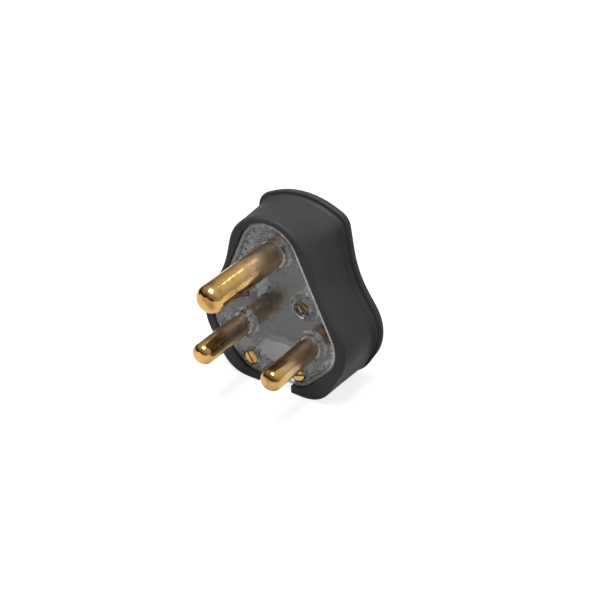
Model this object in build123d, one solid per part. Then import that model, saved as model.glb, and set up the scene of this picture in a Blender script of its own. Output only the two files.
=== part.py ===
from build123d import *
import os
from math import atan2, cos, degrees, hypot, radians, sin, sqrt

# Three-pin plug with round pins, a clear pin base and a rubber cover. Millimetres.
# X runs to the right when the pins are faced, Y from the pins to the back of the cover,
# Z up from the power pins to the earth pin.
# The origin is on the earth pin's axis, in the front face of the clear base.

# Pins
power_pin_spacing = 25.4
earth_pin_rise = 28.6
power_pin_diameter = 7.06
earth_pin_diameter = 8.7
power_pin_reach = 20.7
earth_pin_reach = 30.7
power_tip_radius = 2.6
earth_tip_radius = 3.2
neck_step = 0.25
neck_lead = 0.1
power_head_diameter = 7.4
earth_head_diameter = 9.0
pin_head_length = 9.0
wire_bore_diameter = 4.2
wire_bore_setback = 4.4

# Terminal screws
terminal_thread_diameter = 3.6
terminal_head_diameter = 6.0
terminal_head_height = 2.0
terminal_tip_setback = 5.0
terminal_head_lift = 0.3

# Clear base
face_thickness = 3.0
base_depth = 8.0
skirt_wall = 1.5
base_top_radius = 10.9
side_arc_inset = 1.7
side_arc_rise = 2.0
side_arc_radius = 12.0
foot_arc_inset = 1.4
foot_arc_rise = 2.1
foot_arc_radius = 7.0
face_bevel_width = 1.0
face_bevel_depth = 0.6
pin_boss_wall = 1.2
pin_boss_height = 2.0
rib_thickness = 0.9
rib_height = 1.6
rib_count = 52

# Rubber cover
rim_lip = 0.5
rim_wall_top = 1.9
rim_top_drop = 2.4
rim_wall_side = 3.5
rim_foot_outset = 3.3
rim_foot_rise = 0.5
rim_wall_foot = 3.9
rim_waist_depth = 1.6
rim_waist_radius = 31.0
rim_round = 1.0
cover_depth = 20.8
back_wall = 2.6
lip_thickness = 3.2
lip_overhang = 1.9
lip_foot_overhang = 0.6
lip_face_width = 1.0
lip_front_round = 0.5
lip_back_round = 2.2
cove_radius = 1.6
cove_steps = 4
lip_top_rise = 13.3
lip_crown_radius = 27.0
lip_shoulder_angle = 30
lip_shoulder_radius = 5.9
lip_shoulder_run = 0.1
lip_lobe_inset = 0.7
lip_lobe_rise = 0.6
lip_lobe_radius = 16.0
lip_foot_outset = 4.6
lip_foot_rise = 3.4
lip_wall_foot = 6.0
lip_waist_depth = 2.3
lip_waist_radius = 33.5
cable_mouth_width = 12.8
cable_mouth_depth = 11.0
section_points = 48

# Cover screws, their wells and the threaded inserts in the cover's pillars
well_spacing = 21.6
well_rise = 13.6
well_bore_diameter = 5.2
well_wall = 2.1
well_bevel = 0.4
well_seat_depth = 7.0
well_floor = 1.6
cover_screw_diameter = 2.9
cover_screw_head_diameter = 4.8
cover_screw_head_height = 4.4
cover_screw_length = 8.0
insert_diameter = 5.0
insert_length = 7.0
insert_setback = 0.5
pillar_diameter = 9.4

# Cord clamp with its screws and nuts
cord_screw_spacing = 18.0
cord_screw_drop = 10.5
cord_screw_diameter = 2.4
cord_screw_head_diameter = 4.6
cord_screw_head_height = 1.1
cord_screw_head_round = 0.5
cord_screw_seat = 0.7
cord_screw_seat_gap = 0.4
cord_screw_tail = 0.5
clamp_boss_diameter = 5.4
clamp_boss_height = 3.5
clamp_thickness = 3.5
clamp_bar_height = 5.2
clamp_saddle_width = 14.0
clamp_saddle_rise = 4.6
cord_groove_radius = 6.0
cord_groove_depth = 1.2
nut_width = 4.8
nut_height = 2.0

# Screw slots
slot_width = 0.8
slot_depth = 0.7
terminal_slot_angle = 0
cover_slot_angle = 35
left_cord_slot_angle = 60
right_cord_slot_angle = -20

# Clearances
base_clearance = 0.15
pin_clearance = 0.05
screw_clearance = 0.15
thread_clearance = 0.05
seat_gap = 0.05

power_x = power_pin_spacing / 2
power_z = -earth_pin_rise
well_x = well_spacing / 2
well_z = power_z + well_rise
cord_x = cord_screw_spacing / 2
cord_z = power_z - cord_screw_drop
head_front = face_thickness + seat_gap
head_back = head_front + pin_head_length
clamp_front = face_thickness + clamp_boss_height
clamp_back = clamp_front + clamp_thickness
well_back = well_seat_depth + well_floor
chamber_back = cover_depth - back_wall
lip_front = cover_depth - lip_thickness


def touching_normal(first, second):
    """Unit normal of the line outside both circles; a negative radius puts the line on its far side."""
    along_x = second[0] - first[0]
    along_z = second[1] - first[1]
    distance = hypot(along_x, along_z)
    share = (first[2] - second[2]) / distance
    across = sqrt(1 - share * share)
    return (
        (share * along_x + across * along_z) / distance,
        (share * along_z - across * along_x) / distance,
    )


def on_circle(circle, normal):
    """Point of the circle in the direction of the normal."""
    return (circle[0] + circle[2] * normal[0], circle[1] + circle[2] * normal[1])


def arc_between(circle, start, end):
    """Arc along the circle from one normal to the next, through the normal halfway between them."""
    middle_x = start[0] + end[0]
    middle_z = start[1] + end[1]
    length = hypot(middle_x, middle_z)
    middle = (middle_x / length, middle_z / length)
    return ThreePointArc(on_circle(circle, start), on_circle(circle, middle), on_circle(circle, end))


def belt(half, grow=0.0):
    """Closed outline pulled around the circles of the right half, from foot to top, and their mirror images.

    The last circle lies on the axis. Growing the outline adds to each circle's signed radius.
    The outline starts at the middle of its foot.
    """
    right = [(x, z, radius + grow) for x, z, radius in half]
    circles = right + [(-x, z, radius) for x, z, radius in reversed(right[:-1])]
    count = len(circles)
    normals = [touching_normal(circles[i], circles[(i + 1) % count]) for i in range(count)]
    foot = (0, circles[0][1] - circles[0][2])
    edges = [Line(foot, on_circle(circles[0], normals[-1]))]
    for i in range(count):
        edges.append(arc_between(circles[i], normals[i - 1], normals[i]))
        start = on_circle(circles[i], normals[i])
        end = on_circle(circles[(i + 1) % count], normals[i]) if i < count - 1 else foot
        edges.append(Line(start, end))
    return Wire(edges)


def waist_circle(lower, upper, depth, radius):
    """Circle outside the flank between two circles, pressed into its middle by the depth."""
    normal = touching_normal(lower, upper)
    start = on_circle(lower, normal)
    end = on_circle(upper, normal)
    reach = radius - depth
    return ((start[0] + end[0]) / 2 + reach * normal[0], (start[1] + end[1]) / 2 + reach * normal[1], -radius)


def slab(outline, front, back):
    """Solid of an outline's section from one depth to another."""
    face = Plane.XZ.offset(-back) * make_face(outline)
    return extrude(face, back - front, dir=(0, -1, 0))


def rod(x, z, radius, front, back):
    """Cylinder along Y from one depth to another."""
    return Pos(x, (front + back) / 2, z) * Rot(90, 0, 0) * Cylinder(radius, back - front)


def slot_cut(x, z, head_radius, front, depth, angle):
    """Cutter for a screwdriver slot in a head, from the head's front to the slot's floor."""
    size = Box(2 * head_radius + slot_width, depth, slot_width)
    return Pos(x, front + depth / 2, z) * Rot(0, angle, 0) * size


# Outlines as circles of the right half, from foot to top
foot_circle = (cord_x - foot_arc_inset, cord_z + foot_arc_rise, foot_arc_radius)
side_circle = (power_x - side_arc_inset, power_z + side_arc_rise, side_arc_radius)
top_circle = (0.0, 0.0, base_top_radius)
base_half = [foot_circle, side_circle, top_circle]

rim_foot = (foot_circle[0] + rim_foot_outset, foot_circle[1] + rim_foot_rise, foot_arc_radius + rim_wall_foot)
rim_side = (side_circle[0], side_circle[1], side_arc_radius + rim_wall_side)
rim_top = (0.0, -rim_top_drop, base_top_radius + rim_wall_top + rim_top_drop)
rim_waist = waist_circle(rim_side, rim_top, rim_waist_depth, rim_waist_radius)
rim_half = [rim_foot, rim_side, rim_waist, rim_top]

lip_foot = (foot_circle[0] + lip_foot_outset, foot_circle[1] + lip_foot_rise, foot_arc_radius + lip_wall_foot)
lip_lobe = (power_x - lip_lobe_inset, power_z + lip_lobe_rise, lip_lobe_radius)
lip_crown = (0.0, lip_top_rise - lip_crown_radius, lip_crown_radius)
shoulder_reach = lip_crown_radius - lip_shoulder_radius + lip_shoulder_run
shoulder_x = shoulder_reach * sin(radians(lip_shoulder_angle))
shoulder_z = lip_crown[1] + shoulder_reach * cos(radians(lip_shoulder_angle))
lip_shoulder = (shoulder_x, shoulder_z, lip_shoulder_radius)
lip_waist = waist_circle(lip_lobe, lip_shoulder, lip_waist_depth, lip_waist_radius)
lip_half = [lip_foot, lip_lobe, lip_waist, lip_shoulder, lip_crown]
neck_foot = (lip_foot[0], lip_foot[1], lip_foot[2] + lip_overhang - lip_foot_overhang)
neck_half = [neck_foot, lip_lobe, lip_waist, lip_shoulder, lip_crown]


def outline_points(outline):
    """Evenly spaced points around an outline, from the middle of its foot."""
    return [outline.position_at(i / section_points) for i in range(section_points)]


def blended_section(first, second, share, depth):
    """Smooth closed section between two outlines' points, at a depth."""
    points = [a + (b - a) * share for a, b in zip(first, second)]
    return Plane.XZ.offset(-depth) * make_face(Spline(*points, periodic=True))


def cover_body():
    """Wall of the cover from the rim to the lip, ending in a cove that sweeps out to the lip."""
    rim = outline_points(belt(rim_half))
    neck = outline_points(belt(neck_half, -lip_overhang))
    lip_edge = outline_points(belt(lip_half, -lip_face_width))
    neck_depth = lip_front - cove_radius
    wall = loft([
        blended_section(rim, neck, 0, -rim_lip),
        blended_section(rim, neck, 0.5, (neck_depth - rim_lip) / 2),
        blended_section(rim, neck, 1, neck_depth),
    ])
    front_edge = wall.faces().sort_by(Axis.Y)[0].edges()
    wall = fillet(front_edge, rim_round)
    sweep = []
    for step in range(cove_steps + 1):
        angle = radians(90 * step / cove_steps)
        depth = neck_depth + cove_radius * sin(angle)
        sweep.append(blended_section(neck, lip_edge, 1 - cos(angle), depth))
    cove = loft(sweep, ruled=True)
    root = extrude(sweep[-1], lip_thickness / 2, dir=(0, 1, 0))
    return wall + cove + root


def cover_lip():
    """Thick finger lip around the closed back."""
    lip = slab(belt(lip_half), lip_front, cover_depth)
    back_edge = lip.faces().sort_by(Axis.Y)[-1].edges()
    lip = fillet(back_edge, lip_back_round)
    front_edge = lip.faces().sort_by(Axis.Y)[0].edges()
    return fillet(front_edge, lip_front_round)


def cable_mouth():
    """Cutter for the slot in the bottom wall, open to the front and round at its back."""
    radius = cable_mouth_width / 2
    top = foot_circle[1]
    bottom = min(rim_foot[1] - rim_foot[2], neck_foot[1] - neck_foot[2])
    height = top - bottom
    middle = (top + bottom) / 2
    round_end = cable_mouth_depth - radius
    run = round_end + rim_lip
    straight = Pos(0, round_end - run / 2, middle) * Box(cable_mouth_width, run, height)
    return straight + Pos(0, round_end, middle) * Cylinder(radius, height)


def rubber_cover():
    """One-piece rubber moulding: body, lip, pocket for the base, wiring chamber and two pillars."""
    cover = cover_body() + cover_lip()
    cover -= slab(belt(base_half, base_clearance), -rim_lip, base_depth + seat_gap)
    cover -= slab(belt(base_half, -skirt_wall), 0, chamber_back)
    cover -= cable_mouth()
    for x in (-well_x, well_x):
        cover += rod(x, well_z, pillar_diameter / 2, well_back + seat_gap, chamber_back)
        insert_front = well_back + seat_gap + insert_setback
        cover -= rod(x, well_z, insert_diameter / 2, well_back, insert_front + insert_length)
    return cover


def terminal_pin(x, z, diameter, reach, tip_radius, head_diameter):
    """Turned pin: rounded tip, shank, thinner neck in the clear face, head bored for wire and screw."""
    body = rod(x, z, diameter / 2, -reach, -neck_lead)
    tip = body.faces().sort_by(Axis.Y)[0].edges()
    body = fillet(tip, tip_radius)
    body += rod(x, z, diameter / 2 - neck_step, -neck_lead, head_back)
    body += rod(x, z, head_diameter / 2, head_front, head_back)
    wire_y = head_front + wire_bore_setback
    body -= Pos(x, wire_y, z) * Cylinder(wire_bore_diameter / 2, 2 * head_diameter)
    return body - rod(x, z, terminal_thread_diameter / 2 + thread_clearance, wire_y, head_back)


def terminal_screw(x, z):
    """Cheese-head screw that runs in from the back of a pin's head to clamp the wire."""
    head_start = head_back + terminal_head_lift
    head_end = head_start + terminal_head_height
    screw = rod(x, z, terminal_thread_diameter / 2, head_front + terminal_tip_setback, head_start)
    screw += rod(x, z, terminal_head_diameter / 2, head_start, head_end)
    return screw - slot_cut(x, z, terminal_head_diameter / 2, head_end - slot_depth, slot_depth,
                            terminal_slot_angle)


def skirt_ribs():
    """Ribs that stand inward all around the skirt, except along the bottom beside the cable mouth."""
    span = rib_height + skirt_wall / 2
    path = belt(base_half, span / 2 - skirt_wall - rib_height)
    middle_y = (face_thickness + base_depth) / 2
    ribs = []
    for i in range(rib_count):
        spot = path.position_at((i + 0.5) / rib_count)
        along = path.tangent_at((i + 0.5) / rib_count)
        if spot.Y > cord_z + clamp_bar_height or abs(spot.X) > cord_x + clamp_bar_height:
            lean = degrees(atan2(along.X, along.Y))
            rib = Box(span, base_depth - face_thickness, rib_thickness)
            ribs.append(Pos(spot.X, middle_y, spot.Y) * Rot(0, lean, 0) * rib)
    return ribs


def pin_base():
    """Clear moulded base: face, skirt, screw wells, clamp bosses, pin bosses and ribs."""
    base = slab(belt(base_half), 0, base_depth)
    front = base.faces().sort_by(Axis.Y)[0]
    base = chamfer(front.edges(), face_bevel_width, face_bevel_depth, reference=front)
    base -= slab(belt(base_half, -skirt_wall), face_thickness, base_depth)
    base += skirt_ribs()
    mouth_height = 2 * skirt_wall
    mouth_z = foot_circle[1] - foot_arc_radius + skirt_wall / 2
    mouth_y = face_thickness + base_depth / 2
    base -= Pos(0, mouth_y, mouth_z) * Box(cable_mouth_width, base_depth, mouth_height)
    for side in (-1, 1):
        base += rod(side * well_x, well_z, well_bore_diameter / 2 + well_wall, face_bevel_depth, well_back)
        base -= rod(side * well_x, well_z, well_bore_diameter / 2, 0, well_seat_depth)
        base -= Pos(side * well_x, well_bevel / 2, well_z) * Rot(90, 0, 0) * Cone(
            well_bore_diameter / 2, well_bore_diameter / 2 + well_bevel, well_bevel)
        hole = cover_screw_diameter / 2 + screw_clearance
        base -= rod(side * well_x, well_z, hole, 0, well_back)
        base += rod(side * cord_x, cord_z, clamp_boss_diameter / 2, face_bevel_depth, clamp_front)
        base -= rod(side * cord_x, cord_z, cord_screw_diameter / 2 + screw_clearance, 0, clamp_front)
        seat_radius = cord_screw_head_diameter / 2 + cord_screw_seat_gap
        base -= rod(side * cord_x, cord_z, seat_radius, 0, cord_screw_seat)
    for x, z, diameter, head_diameter in ((0, 0, earth_pin_diameter, earth_head_diameter),
                                          (-power_x, power_z, power_pin_diameter, power_head_diameter),
                                          (power_x, power_z, power_pin_diameter, power_head_diameter)):
        socket = head_diameter / 2 + pin_clearance
        boss_back = face_thickness + pin_boss_height
        base += rod(x, z, socket + pin_boss_wall, face_bevel_depth, boss_back)
        base -= rod(x, z, socket, face_thickness, boss_back)
        base -= rod(x, z, diameter / 2 - neck_step + pin_clearance, 0, face_thickness)
    return base


def cover_screw(x):
    """Brass screw at the bottom of a well, running into the cover's insert."""
    head_top = well_seat_depth - cover_screw_head_height
    screw = rod(x, well_z, cover_screw_head_diameter / 2, head_top, well_seat_depth)
    screw += rod(x, well_z, cover_screw_diameter / 2, head_top, well_seat_depth + cover_screw_length)
    return screw - slot_cut(x, well_z, cover_screw_head_diameter / 2, head_top, slot_depth,
                            cover_slot_angle)


def cover_insert(x):
    """Threaded brass bush moulded into a pillar of the cover."""
    front = well_back + seat_gap + insert_setback
    back = front + insert_length
    insert = rod(x, well_z, insert_diameter / 2, front, back)
    return insert - rod(x, well_z, cover_screw_diameter / 2 + thread_clearance, front, back)


def cord_clamp():
    """Bar with a grooved saddle, drawn onto the base's two bosses over the cord."""
    middle_y = (clamp_front + clamp_back) / 2
    bar = Pos(0, middle_y, cord_z) * Box(cord_screw_spacing, clamp_thickness, clamp_bar_height)
    for side in (-1, 1):
        bar += rod(side * cord_x, cord_z, clamp_bar_height / 2, clamp_front, clamp_back)
    saddle_height = clamp_saddle_rise + clamp_bar_height / 2
    saddle_z = cord_z + (clamp_saddle_rise - clamp_bar_height / 2) / 2
    bar += Pos(0, middle_y, saddle_z) * Box(clamp_saddle_width, clamp_thickness, saddle_height)
    groove_y = clamp_front + cord_groove_depth - cord_groove_radius
    bar -= Pos(0, groove_y, saddle_z) * Cylinder(cord_groove_radius, 2 * saddle_height)
    for side in (-1, 1):
        bar -= rod(side * cord_x, cord_z, cord_screw_diameter / 2 + screw_clearance, clamp_front, clamp_back)
    return bar


def cord_screw(x, angle):
    """Pan-head brass screw on the face that pulls the clamp in."""
    crown = cord_screw_seat - cord_screw_head_height
    head = rod(x, cord_z, cord_screw_head_diameter / 2, crown, cord_screw_seat)
    rim = head.faces().sort_by(Axis.Y)[0].edges()
    screw = fillet(rim, cord_screw_head_round)
    tail = clamp_back + nut_height + cord_screw_tail
    screw += rod(x, cord_z, cord_screw_diameter / 2, cord_screw_seat, tail)
    return screw - slot_cut(x, cord_z, cord_screw_head_diameter / 2, crown, slot_depth, angle)


def cord_nut(x):
    """Hexagonal brass nut behind the clamp bar."""
    hexagon = RegularPolygon(nut_width / 2, 6, major_radius=False)
    nut = Plane.XZ.offset(-clamp_back - nut_height) * Pos(x, cord_z) * hexagon
    nut = extrude(nut, nut_height, dir=(0, -1, 0))
    hole = cord_screw_diameter / 2 + thread_clearance
    return nut - rod(x, cord_z, hole, clamp_back, clamp_back + nut_height)


parts = {
    "rubber_cover": rubber_cover(),
    "pin_base": pin_base(),
    "earth_pin": terminal_pin(0, 0, earth_pin_diameter, earth_pin_reach, earth_tip_radius,
                              earth_head_diameter),
    "earth_terminal_screw": terminal_screw(0, 0),
    "cord_clamp": cord_clamp(),
}
for name, side in (("live", -1), ("neutral", 1)):
    parts[name + "_pin"] = terminal_pin(side * power_x, power_z, power_pin_diameter, power_pin_reach,
                                        power_tip_radius, power_head_diameter)
    parts[name + "_terminal_screw"] = terminal_screw(side * power_x, power_z)
for name, side, slot_angle in (("left", -1, left_cord_slot_angle),
                               ("right", 1, right_cord_slot_angle)):
    parts["cover_screw_" + name] = cover_screw(side * well_x)
    parts["cover_insert_" + name] = cover_insert(side * well_x)
    parts["cord_screw_" + name] = cord_screw(side * cord_x, slot_angle)
    parts["cord_nut_" + name] = cord_nut(side * cord_x)

os.makedirs("parts", exist_ok=True)
for name, shape in parts.items():
    export_step(shape, "parts/" + name + ".step")
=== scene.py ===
import bpy
from math import radians
from mathutils import Matrix, Vector


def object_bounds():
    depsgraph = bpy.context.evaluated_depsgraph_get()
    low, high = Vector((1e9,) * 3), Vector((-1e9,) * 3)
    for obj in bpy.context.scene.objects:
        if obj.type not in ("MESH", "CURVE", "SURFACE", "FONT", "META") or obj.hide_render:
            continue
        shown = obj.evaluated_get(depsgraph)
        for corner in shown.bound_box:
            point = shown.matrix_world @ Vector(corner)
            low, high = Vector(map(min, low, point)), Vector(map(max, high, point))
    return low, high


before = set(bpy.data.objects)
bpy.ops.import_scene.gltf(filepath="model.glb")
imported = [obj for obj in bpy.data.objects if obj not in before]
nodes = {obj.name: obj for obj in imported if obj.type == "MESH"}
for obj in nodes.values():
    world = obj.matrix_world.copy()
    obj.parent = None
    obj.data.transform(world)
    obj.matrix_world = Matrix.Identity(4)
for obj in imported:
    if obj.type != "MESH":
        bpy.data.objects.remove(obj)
cad_low, cad_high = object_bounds()


# The three pins: solid brass, turned on a lathe, with rounded tips and with necks held in the clear base.
# The earth pin at the top is thicker and longer than the two power pins.
# A socket rubs their tips smooth and bright, and near the face they stay rougher; their brown there is
# painted reflection of the dark cover and clear face.

bright_brass = [(0.36, (0.36, 0.19, 0.07)), (0.50, (0.64, 0.38, 0.13)), (0.70, (0.76, 0.48, 0.17))]
# Painted reflection: this brown stands for the dark cover and clear face mirrored in the pins near the face.
painted_reflection_brass = [(0.30, (0.46, 0.31, 0.20)), (0.70, (0.72, 0.52, 0.34))]
tip_roughness = 0.10
face_roughness = 0.36
tarnish_spots = (210, 160, 210)
bright_until = -0.016
brown_from = 0.001
border_sway = 0.008
wear_streaks = (900, 220, 900)
wear_depth = 0.00013
lathe_rings = (60, 9000, 60)
lathe_depth = 0.000004


def new_finish(name):
    """Empty node material: gives the material, its tree and its principled shader."""
    finish = bpy.data.materials.new(name)
    finish.use_nodes = True
    tree = finish.node_tree
    return finish, tree, tree.nodes["Principled BSDF"]


def grain(tree, stretch, detail):
    """Noise in object space; stretch is the number of spots in a metre along X, Y and Z."""
    place = tree.nodes.new("ShaderNodeTexCoord")
    fit = tree.nodes.new("ShaderNodeMapping")
    fit.inputs["Scale"].default_value = stretch
    noise = tree.nodes.new("ShaderNodeTexNoise")
    noise.inputs["Scale"].default_value = 1.0
    noise.inputs["Detail"].default_value = detail
    tree.links.new(place.outputs["Object"], fit.inputs["Vector"])
    tree.links.new(fit.outputs["Vector"], noise.inputs["Vector"])
    return noise.outputs["Fac"]


def ramp(tree, value, stops):
    """Colour ramp over a value; each stop is a place and a grey level or a colour."""
    node = tree.nodes.new("ShaderNodeValToRGB")
    bands = node.color_ramp
    while len(bands.elements) < len(stops):
        bands.elements.new(0.5)
    for element, (place, colour) in zip(bands.elements, stops):
        element.position = place
        element.color = (*colour, 1.0) if hasattr(colour, "__len__") else (colour, colour, colour, 1.0)
    tree.links.new(value, node.inputs["Fac"])
    return node.outputs["Color"]


def relief(tree, shader, height, depth, strength=1.0):
    """Bump on a shader, over any bump already there: a full height signal stands up by depth, in metres."""
    bump = tree.nodes.new("ShaderNodeBump")
    bump.inputs["Distance"].default_value = depth
    bump.inputs["Strength"].default_value = strength
    tree.links.new(height, bump.inputs["Height"])
    for link in shader.inputs["Normal"].links:
        tree.links.new(link.from_socket, bump.inputs["Normal"])
    tree.links.new(bump.outputs["Normal"], shader.inputs["Normal"])


def along_y(tree, reading):
    """Y part of a texture coordinate: Object for the place in the plug, Normal for how a surface faces."""
    coordinate = tree.nodes.new("ShaderNodeTexCoord")
    split = tree.nodes.new("ShaderNodeSeparateXYZ")
    tree.links.new(coordinate.outputs[reading], split.inputs["Vector"])
    return split.outputs["Y"]


def reckon(tree, operation, *terms):
    """Math node over its terms, each of them a signal or a plain number."""
    node = tree.nodes.new("ShaderNodeMath")
    node.operation = operation
    for socket, term in zip(node.inputs, terms):
        if isinstance(term, float):
            socket.default_value = term
        else:
            tree.links.new(term, socket)
    return node.outputs["Value"]


def rescale(tree, value, start, end, low, high, way="LINEAR"):
    """Signal that goes from low to high while the value goes from start to end, and is level outside."""
    node = tree.nodes.new("ShaderNodeMapRange")
    node.interpolation_type = way
    for name, number in (("From Min", start), ("From Max", end), ("To Min", low), ("To Max", high)):
        node.inputs[name].default_value = number
    tree.links.new(value, node.inputs["Value"])
    return node.outputs["Result"]


def mix_colours(tree, share, first, second):
    """Goes from the first colour to the second as the share goes from zero to one."""
    blend = tree.nodes.new("ShaderNodeMix")
    blend.data_type = "RGBA"
    # This node keeps its colours in input sockets 6 and 7 and in output socket 2.
    tree.links.new(share, blend.inputs["Factor"])
    tree.links.new(first, blend.inputs[6])
    tree.links.new(second, blend.inputs[7])
    return blend.outputs[2]


def paint(node, finish):
    """Puts a finish in every material slot of a CAD node."""
    for slot in nodes[node].material_slots:
        slot.material = finish


def polished_brass():
    """Golden brass, bright at the tip, rougher with a painted brown reflection at the face, with wear
    streaks and lathe rings.
    """
    finish, tree, shader = new_finish("polished_brass")
    spots = grain(tree, tarnish_spots, detail=4)
    border = reckon(tree, "MULTIPLY_ADD", spots, border_sway, along_y(tree, "Object"))
    # Near the face this share paints the brown reflection of the dark cover and makes the brass rougher.
    dull_and_reflection_share = rescale(tree, border, bright_until, brown_from, 0.0, 1.0, "SMOOTHSTEP")
    colour = mix_colours(tree, dull_and_reflection_share, ramp(tree, spots, bright_brass), ramp(tree, spots, painted_reflection_brass))
    tree.links.new(colour, shader.inputs["Base Color"])
    rough = ramp(tree, dull_and_reflection_share, [(0.0, tip_roughness), (1.0, face_roughness)])
    tree.links.new(rough, shader.inputs["Roughness"])
    shader.inputs["Metallic"].default_value = 1.0
    relief(tree, shader, grain(tree, wear_streaks, detail=2), wear_depth)
    relief(tree, shader, grain(tree, lathe_rings, detail=2), lathe_depth)
    return finish


pin_brass = polished_brass()
for pin in ("earth_pin", "live_pin", "neutral_pin"):
    paint(pin, pin_brass)


# Screws, nuts and inserts: plain turned brass, rougher and duller than the pins.
# Two pan heads on the face pull up the cord clamp, and two screws deep in the wells hold the cover by
# its inserts. Three small screws inside clamp the wires in the heads of the pins.

dull_colours = [(0.3, (0.42, 0.26, 0.09)), (0.6, (0.72, 0.49, 0.18))]
dull_roughness = [(0.3, 0.38), (0.7, 0.24)]
dark_patches = (500, 500, 500)
fine_scratches = (9000, 1500, 9000)
scratch_depth = 0.000006


def dull_brass():
    """Yellow brass with fine all-round scratches and darker patches."""
    finish, tree, shader = new_finish("dull_brass")
    patches = grain(tree, dark_patches, detail=4)
    tree.links.new(ramp(tree, patches, dull_colours), shader.inputs["Base Color"])
    tree.links.new(ramp(tree, patches, dull_roughness), shader.inputs["Roughness"])
    shader.inputs["Metallic"].default_value = 1.0
    relief(tree, shader, grain(tree, fine_scratches, detail=2), scratch_depth)
    return finish


screw_brass = dull_brass()
for name in nodes:
    if "screw" in name or "nut" in name or "insert" in name:
        paint(name, screw_brass)


# Cord clamp: a bar of light grey plastic with a grooved saddle, moulded in one piece.
# It lies behind the clear face, where the two face screws pull it against the cord.

clamp_greys = [(0.3, (0.54, 0.54, 0.53)), (0.7, (0.64, 0.64, 0.63))]
clamp_clouds = (300, 300, 300)
clamp_roughness = 0.45
clamp_grain = (4000, 4000, 4000)
clamp_grain_depth = 0.00001


def clamp_plastic():
    """Light grey plastic with a fine moulded grain."""
    finish, tree, shader = new_finish("clamp_plastic")
    cloud = grain(tree, clamp_clouds, detail=3)
    tree.links.new(ramp(tree, cloud, clamp_greys), shader.inputs["Base Color"])
    shader.inputs["Roughness"].default_value = clamp_roughness
    relief(tree, shader, grain(tree, clamp_grain, detail=2), clamp_grain_depth)
    return finish


paint("cord_clamp", clamp_plastic())


# Pin base: one moulding of clear plastic with a face, a skirt, wells, bosses and ribs, which holds the pins.
# Its face is polished in the mould and shows the brass behind it, and the bevel around it is cloudy.
# Drag marks from the mould whiten the walls that run along its draw, which is along Y.

clear_haze = [(0.3, (0.93, 0.94, 0.95)), (0.7, (0.98, 0.98, 0.98))]
haze_clouds = (150, 150, 150)
clear_bend = 1.5
wall_facing = [(0.3, 1.0), (0.6, 0.0)]
walls_from = 0.0026
drag_marks = (640, 110, 640)
drag_depth = 0.0005
drag_roughness = [(0.46, 0.03), (0.52, 0.25)]
drag_clearness = [(0.46, 0.97), (0.52, 0.02)]
bevel_clearness = [(0.80, 1.0), (0.84, 0.45), (0.88, 0.45), (0.92, 1.0)]
moulded_waves = (420, 420, 420)
wave_depth = 0.00014


def clear_plastic():
    """Clear plastic with a slight haze, drag marks on its side walls, and a surface that waves a little."""
    finish, tree, shader = new_finish("clear_plastic")
    haze = grain(tree, haze_clouds, detail=3)
    tree.links.new(ramp(tree, haze, clear_haze), shader.inputs["Base Color"])
    squareness = reckon(tree, "ABSOLUTE", along_y(tree, "Normal"))
    behind_face = reckon(tree, "GREATER_THAN", along_y(tree, "Object"), walls_from)
    walls = reckon(tree, "MULTIPLY", ramp(tree, squareness, wall_facing), behind_face)
    marks = reckon(tree, "MULTIPLY", grain(tree, drag_marks, detail=2), walls)
    tree.links.new(ramp(tree, marks, drag_roughness), shader.inputs["Roughness"])
    bevel = ramp(tree, squareness, bevel_clearness)
    clearness = reckon(tree, "MULTIPLY", ramp(tree, marks, drag_clearness), bevel)
    tree.links.new(clearness, shader.inputs["Transmission Weight"])
    shader.inputs["IOR"].default_value = clear_bend
    relief(tree, shader, grain(tree, moulded_waves, detail=3), wave_depth)
    relief(tree, shader, marks, drag_depth)
    return finish


paint("pin_base", clear_plastic())


# Rubber cover: one black moulding with a finger lip around its back and a slot for the cord at the bottom.
# It comes out of the mould with a fine matt grain, and the two screws in the wells hold it on the base.

rubber_blacks = [(0.3, (0.036, 0.036, 0.038)), (0.7, (0.044, 0.044, 0.047))]
rubber_roughness = [(0.3, 0.62), (0.7, 0.50)]
rubber_shine = 0.18
rubber_clouds = (90, 90, 90)
rubber_grain = (3500, 3500, 3500)
rubber_grain_depth = 0.00002
rubber_grain_strength = 0.5


def black_rubber():
    """Black rubber with a fine grain and softly clouded sheen."""
    finish, tree, shader = new_finish("black_rubber")
    cloud = grain(tree, rubber_clouds, detail=4)
    tree.links.new(ramp(tree, cloud, rubber_blacks), shader.inputs["Base Color"])
    tree.links.new(ramp(tree, cloud, rubber_roughness), shader.inputs["Roughness"])
    shader.inputs["Specular IOR Level"].default_value = rubber_shine
    relief(tree, shader, grain(tree, rubber_grain, detail=3), rubber_grain_depth, rubber_grain_strength)
    return finish


paint("rubber_cover", black_rubber())


# Floor: a plain white sheet under the plug, painted a matt grey that sends some light back up.
# A glow makes it white for the camera, and nearly so in gloss and glass, but lands on nothing.
# The glow is a little weaker around the plug, so that the plug's shadow shows there.

floor_reach = 3.0
floor_paint = (0.38, 0.38, 0.38, 1.0)
shadow_reach = 0.12
white_from = 0.60
glow_near = 0.82
glow_far = 1.0
mirrored_glow = 0.70

floor_mesh = bpy.data.meshes.new("floor")
floor_mesh.from_pydata(
    [(x * floor_reach, y * floor_reach, cad_low.z) for x, y in ((-1, -1), (1, -1), (1, 1), (-1, 1))],
    [],
    [(0, 1, 2, 3)],
)
floor = bpy.data.objects.new("floor", floor_mesh)
bpy.context.scene.collection.objects.link(floor)


def is_ray(tree, kind):
    """One for rays of the named kind, and zero for all others."""
    return tree.nodes.new("ShaderNodeLightPath").outputs[kind]


def in_gloss_or_glass(tree):
    """One for rays that gloss or glass sends on, and zero for all others."""
    return reckon(tree, "MAXIMUM", is_ray(tree, "Is Glossy Ray"), is_ray(tree, "Is Transmission Ray"))


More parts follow.
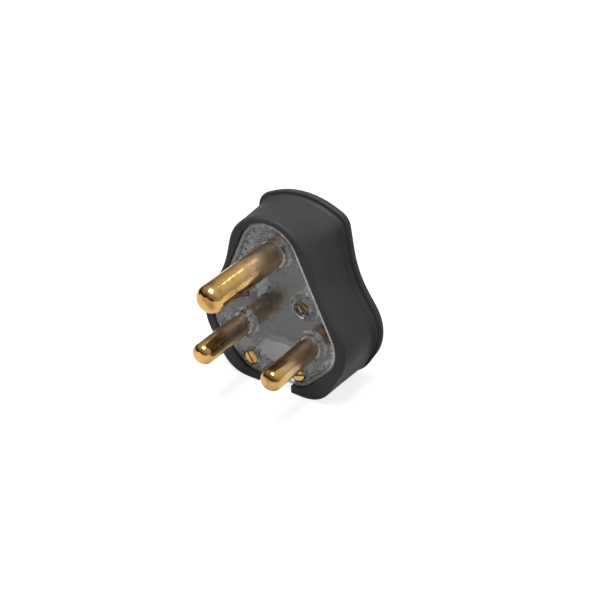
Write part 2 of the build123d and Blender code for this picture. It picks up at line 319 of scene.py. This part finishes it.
def floor_white():
    """Matt paint with a glow that grows with the distance from the plug, for rays that look at it."""
    finish, tree, shader = new_finish("white_floor")
    shader.inputs["Base Color"].default_value = floor_paint
    shader.inputs["Roughness"].default_value = 1.0
    shader.inputs["Specular IOR Level"].default_value = 0.0
    shader.inputs["Emission Color"].default_value = (1.0, 1.0, 1.0, 1.0)
    place = tree.nodes.new("ShaderNodeTexCoord")
    distance = tree.nodes.new("ShaderNodeVectorMath")
    distance.operation = "LENGTH"
    tree.links.new(place.outputs["Object"], distance.inputs[0])
    level = rescale(tree, distance.outputs["Value"], shadow_reach, white_from, glow_near, glow_far)
    mirrored = in_gloss_or_glass(tree)
    looks = reckon(tree, "MULTIPLY_ADD", mirrored, mirrored_glow, is_ray(tree, "Is Camera Ray"))
    tree.links.new(reckon(tree, "MULTIPLY", looks, level), shader.inputs["Emission Strength"])
    return finish


floor_mesh.materials.append(floor_white())


# Room: white where the camera looks, with light that lands on the plug from a bright ceiling.
# Gloss and glass see their own ceiling, brightest behind the plug and to its right.

fade_start = -0.2
ceiling_side = (0.0, -0.15, 0.99)
ceiling_light = (0.02, 0.45)
mirrored_side = (0.35, 0.35, 1.0)
mirrored_light = (0.02, 0.80)


def fade(tree, bright_side, light):
    """Brightness that rises over the two levels of light as a direction turns to the bright side."""
    look = tree.nodes.new("ShaderNodeTexCoord")
    share = tree.nodes.new("ShaderNodeVectorMath")
    share.operation = "DOT_PRODUCT"
    share.inputs[1].default_value = Vector(bright_side).normalized()
    tree.links.new(look.outputs["Generated"], share.inputs[0])
    return rescale(tree, share.outputs["Value"], fade_start, 1.0, *light)


world = bpy.data.worlds.new("white_room")
bpy.context.scene.world = world
world.use_nodes = True
room = world.node_tree
background = room.nodes["Background"]
background.inputs["Color"].default_value = (1.0, 1.0, 1.0, 1.0)
choice = room.nodes.new("ShaderNodeMix")
room.links.new(in_gloss_or_glass(room), choice.inputs["Factor"])
room.links.new(fade(room, ceiling_side, ceiling_light), choice.inputs["A"])
room.links.new(fade(room, mirrored_side, mirrored_light), choice.inputs["B"])
brightness = reckon(room, "MAXIMUM", choice.outputs["Result"], is_ray(room, "Is Camera Ray"))
room.links.new(brightness, background.inputs["Strength"])


# Lamps: a wide soft one overhead gives the main light and the highlights on the brass.
# A small weak one from behind lifts the edge of the finger lip.

overhead_place = (0.01, -0.12, 0.62)
overhead_side = 0.35
overhead_power = 4.9
behind_place = (0.05, 0.42, 0.46)
behind_side = 0.05
behind_power = 0.035
plug_middle = (cad_low + cad_high) / 2


def soft_lamp(name, place, side, power):
    """Square area lamp that shines from a place to the middle of the plug."""
    data = bpy.data.lights.new(name, "AREA")
    data.size = side
    data.energy = power
    lamp = bpy.data.objects.new(name, data)
    lamp.location = place
    lamp.rotation_euler = (plug_middle - Vector(place)).to_track_quat("-Z", "Y").to_euler()
    bpy.context.scene.collection.objects.link(lamp)


soft_lamp("overhead", overhead_place, overhead_side, overhead_power)
soft_lamp("behind", behind_place, behind_side, behind_power)


# Camera: in front of the pins, above them and to their right, at the photograph's viewing angle.
# Its place, its long lens and its slight lean were fitted to the pins in the photograph.

view_point = Vector((0.18279, -0.23923, 0.17201))
aim_point = Vector((0.00413, 0.00913, -0.01849))
lean = radians(2.02)

camera_data = bpy.data.cameras.new("camera")
camera_data.sensor_width = 36.0
camera_data.lens = 70.57
camera_data.clip_start = 0.01
camera = bpy.data.objects.new("camera", camera_data)
turn = (aim_point - view_point).to_track_quat("-Z", "Y").to_matrix() @ Matrix.Rotation(-lean, 3, "Z")
camera.matrix_world = Matrix.Translation(view_point) @ turn.to_4x4()
bpy.context.scene.collection.objects.link(camera)
bpy.context.scene.camera = camera
bpy.context.scene.view_settings.view_transform = "Standard"
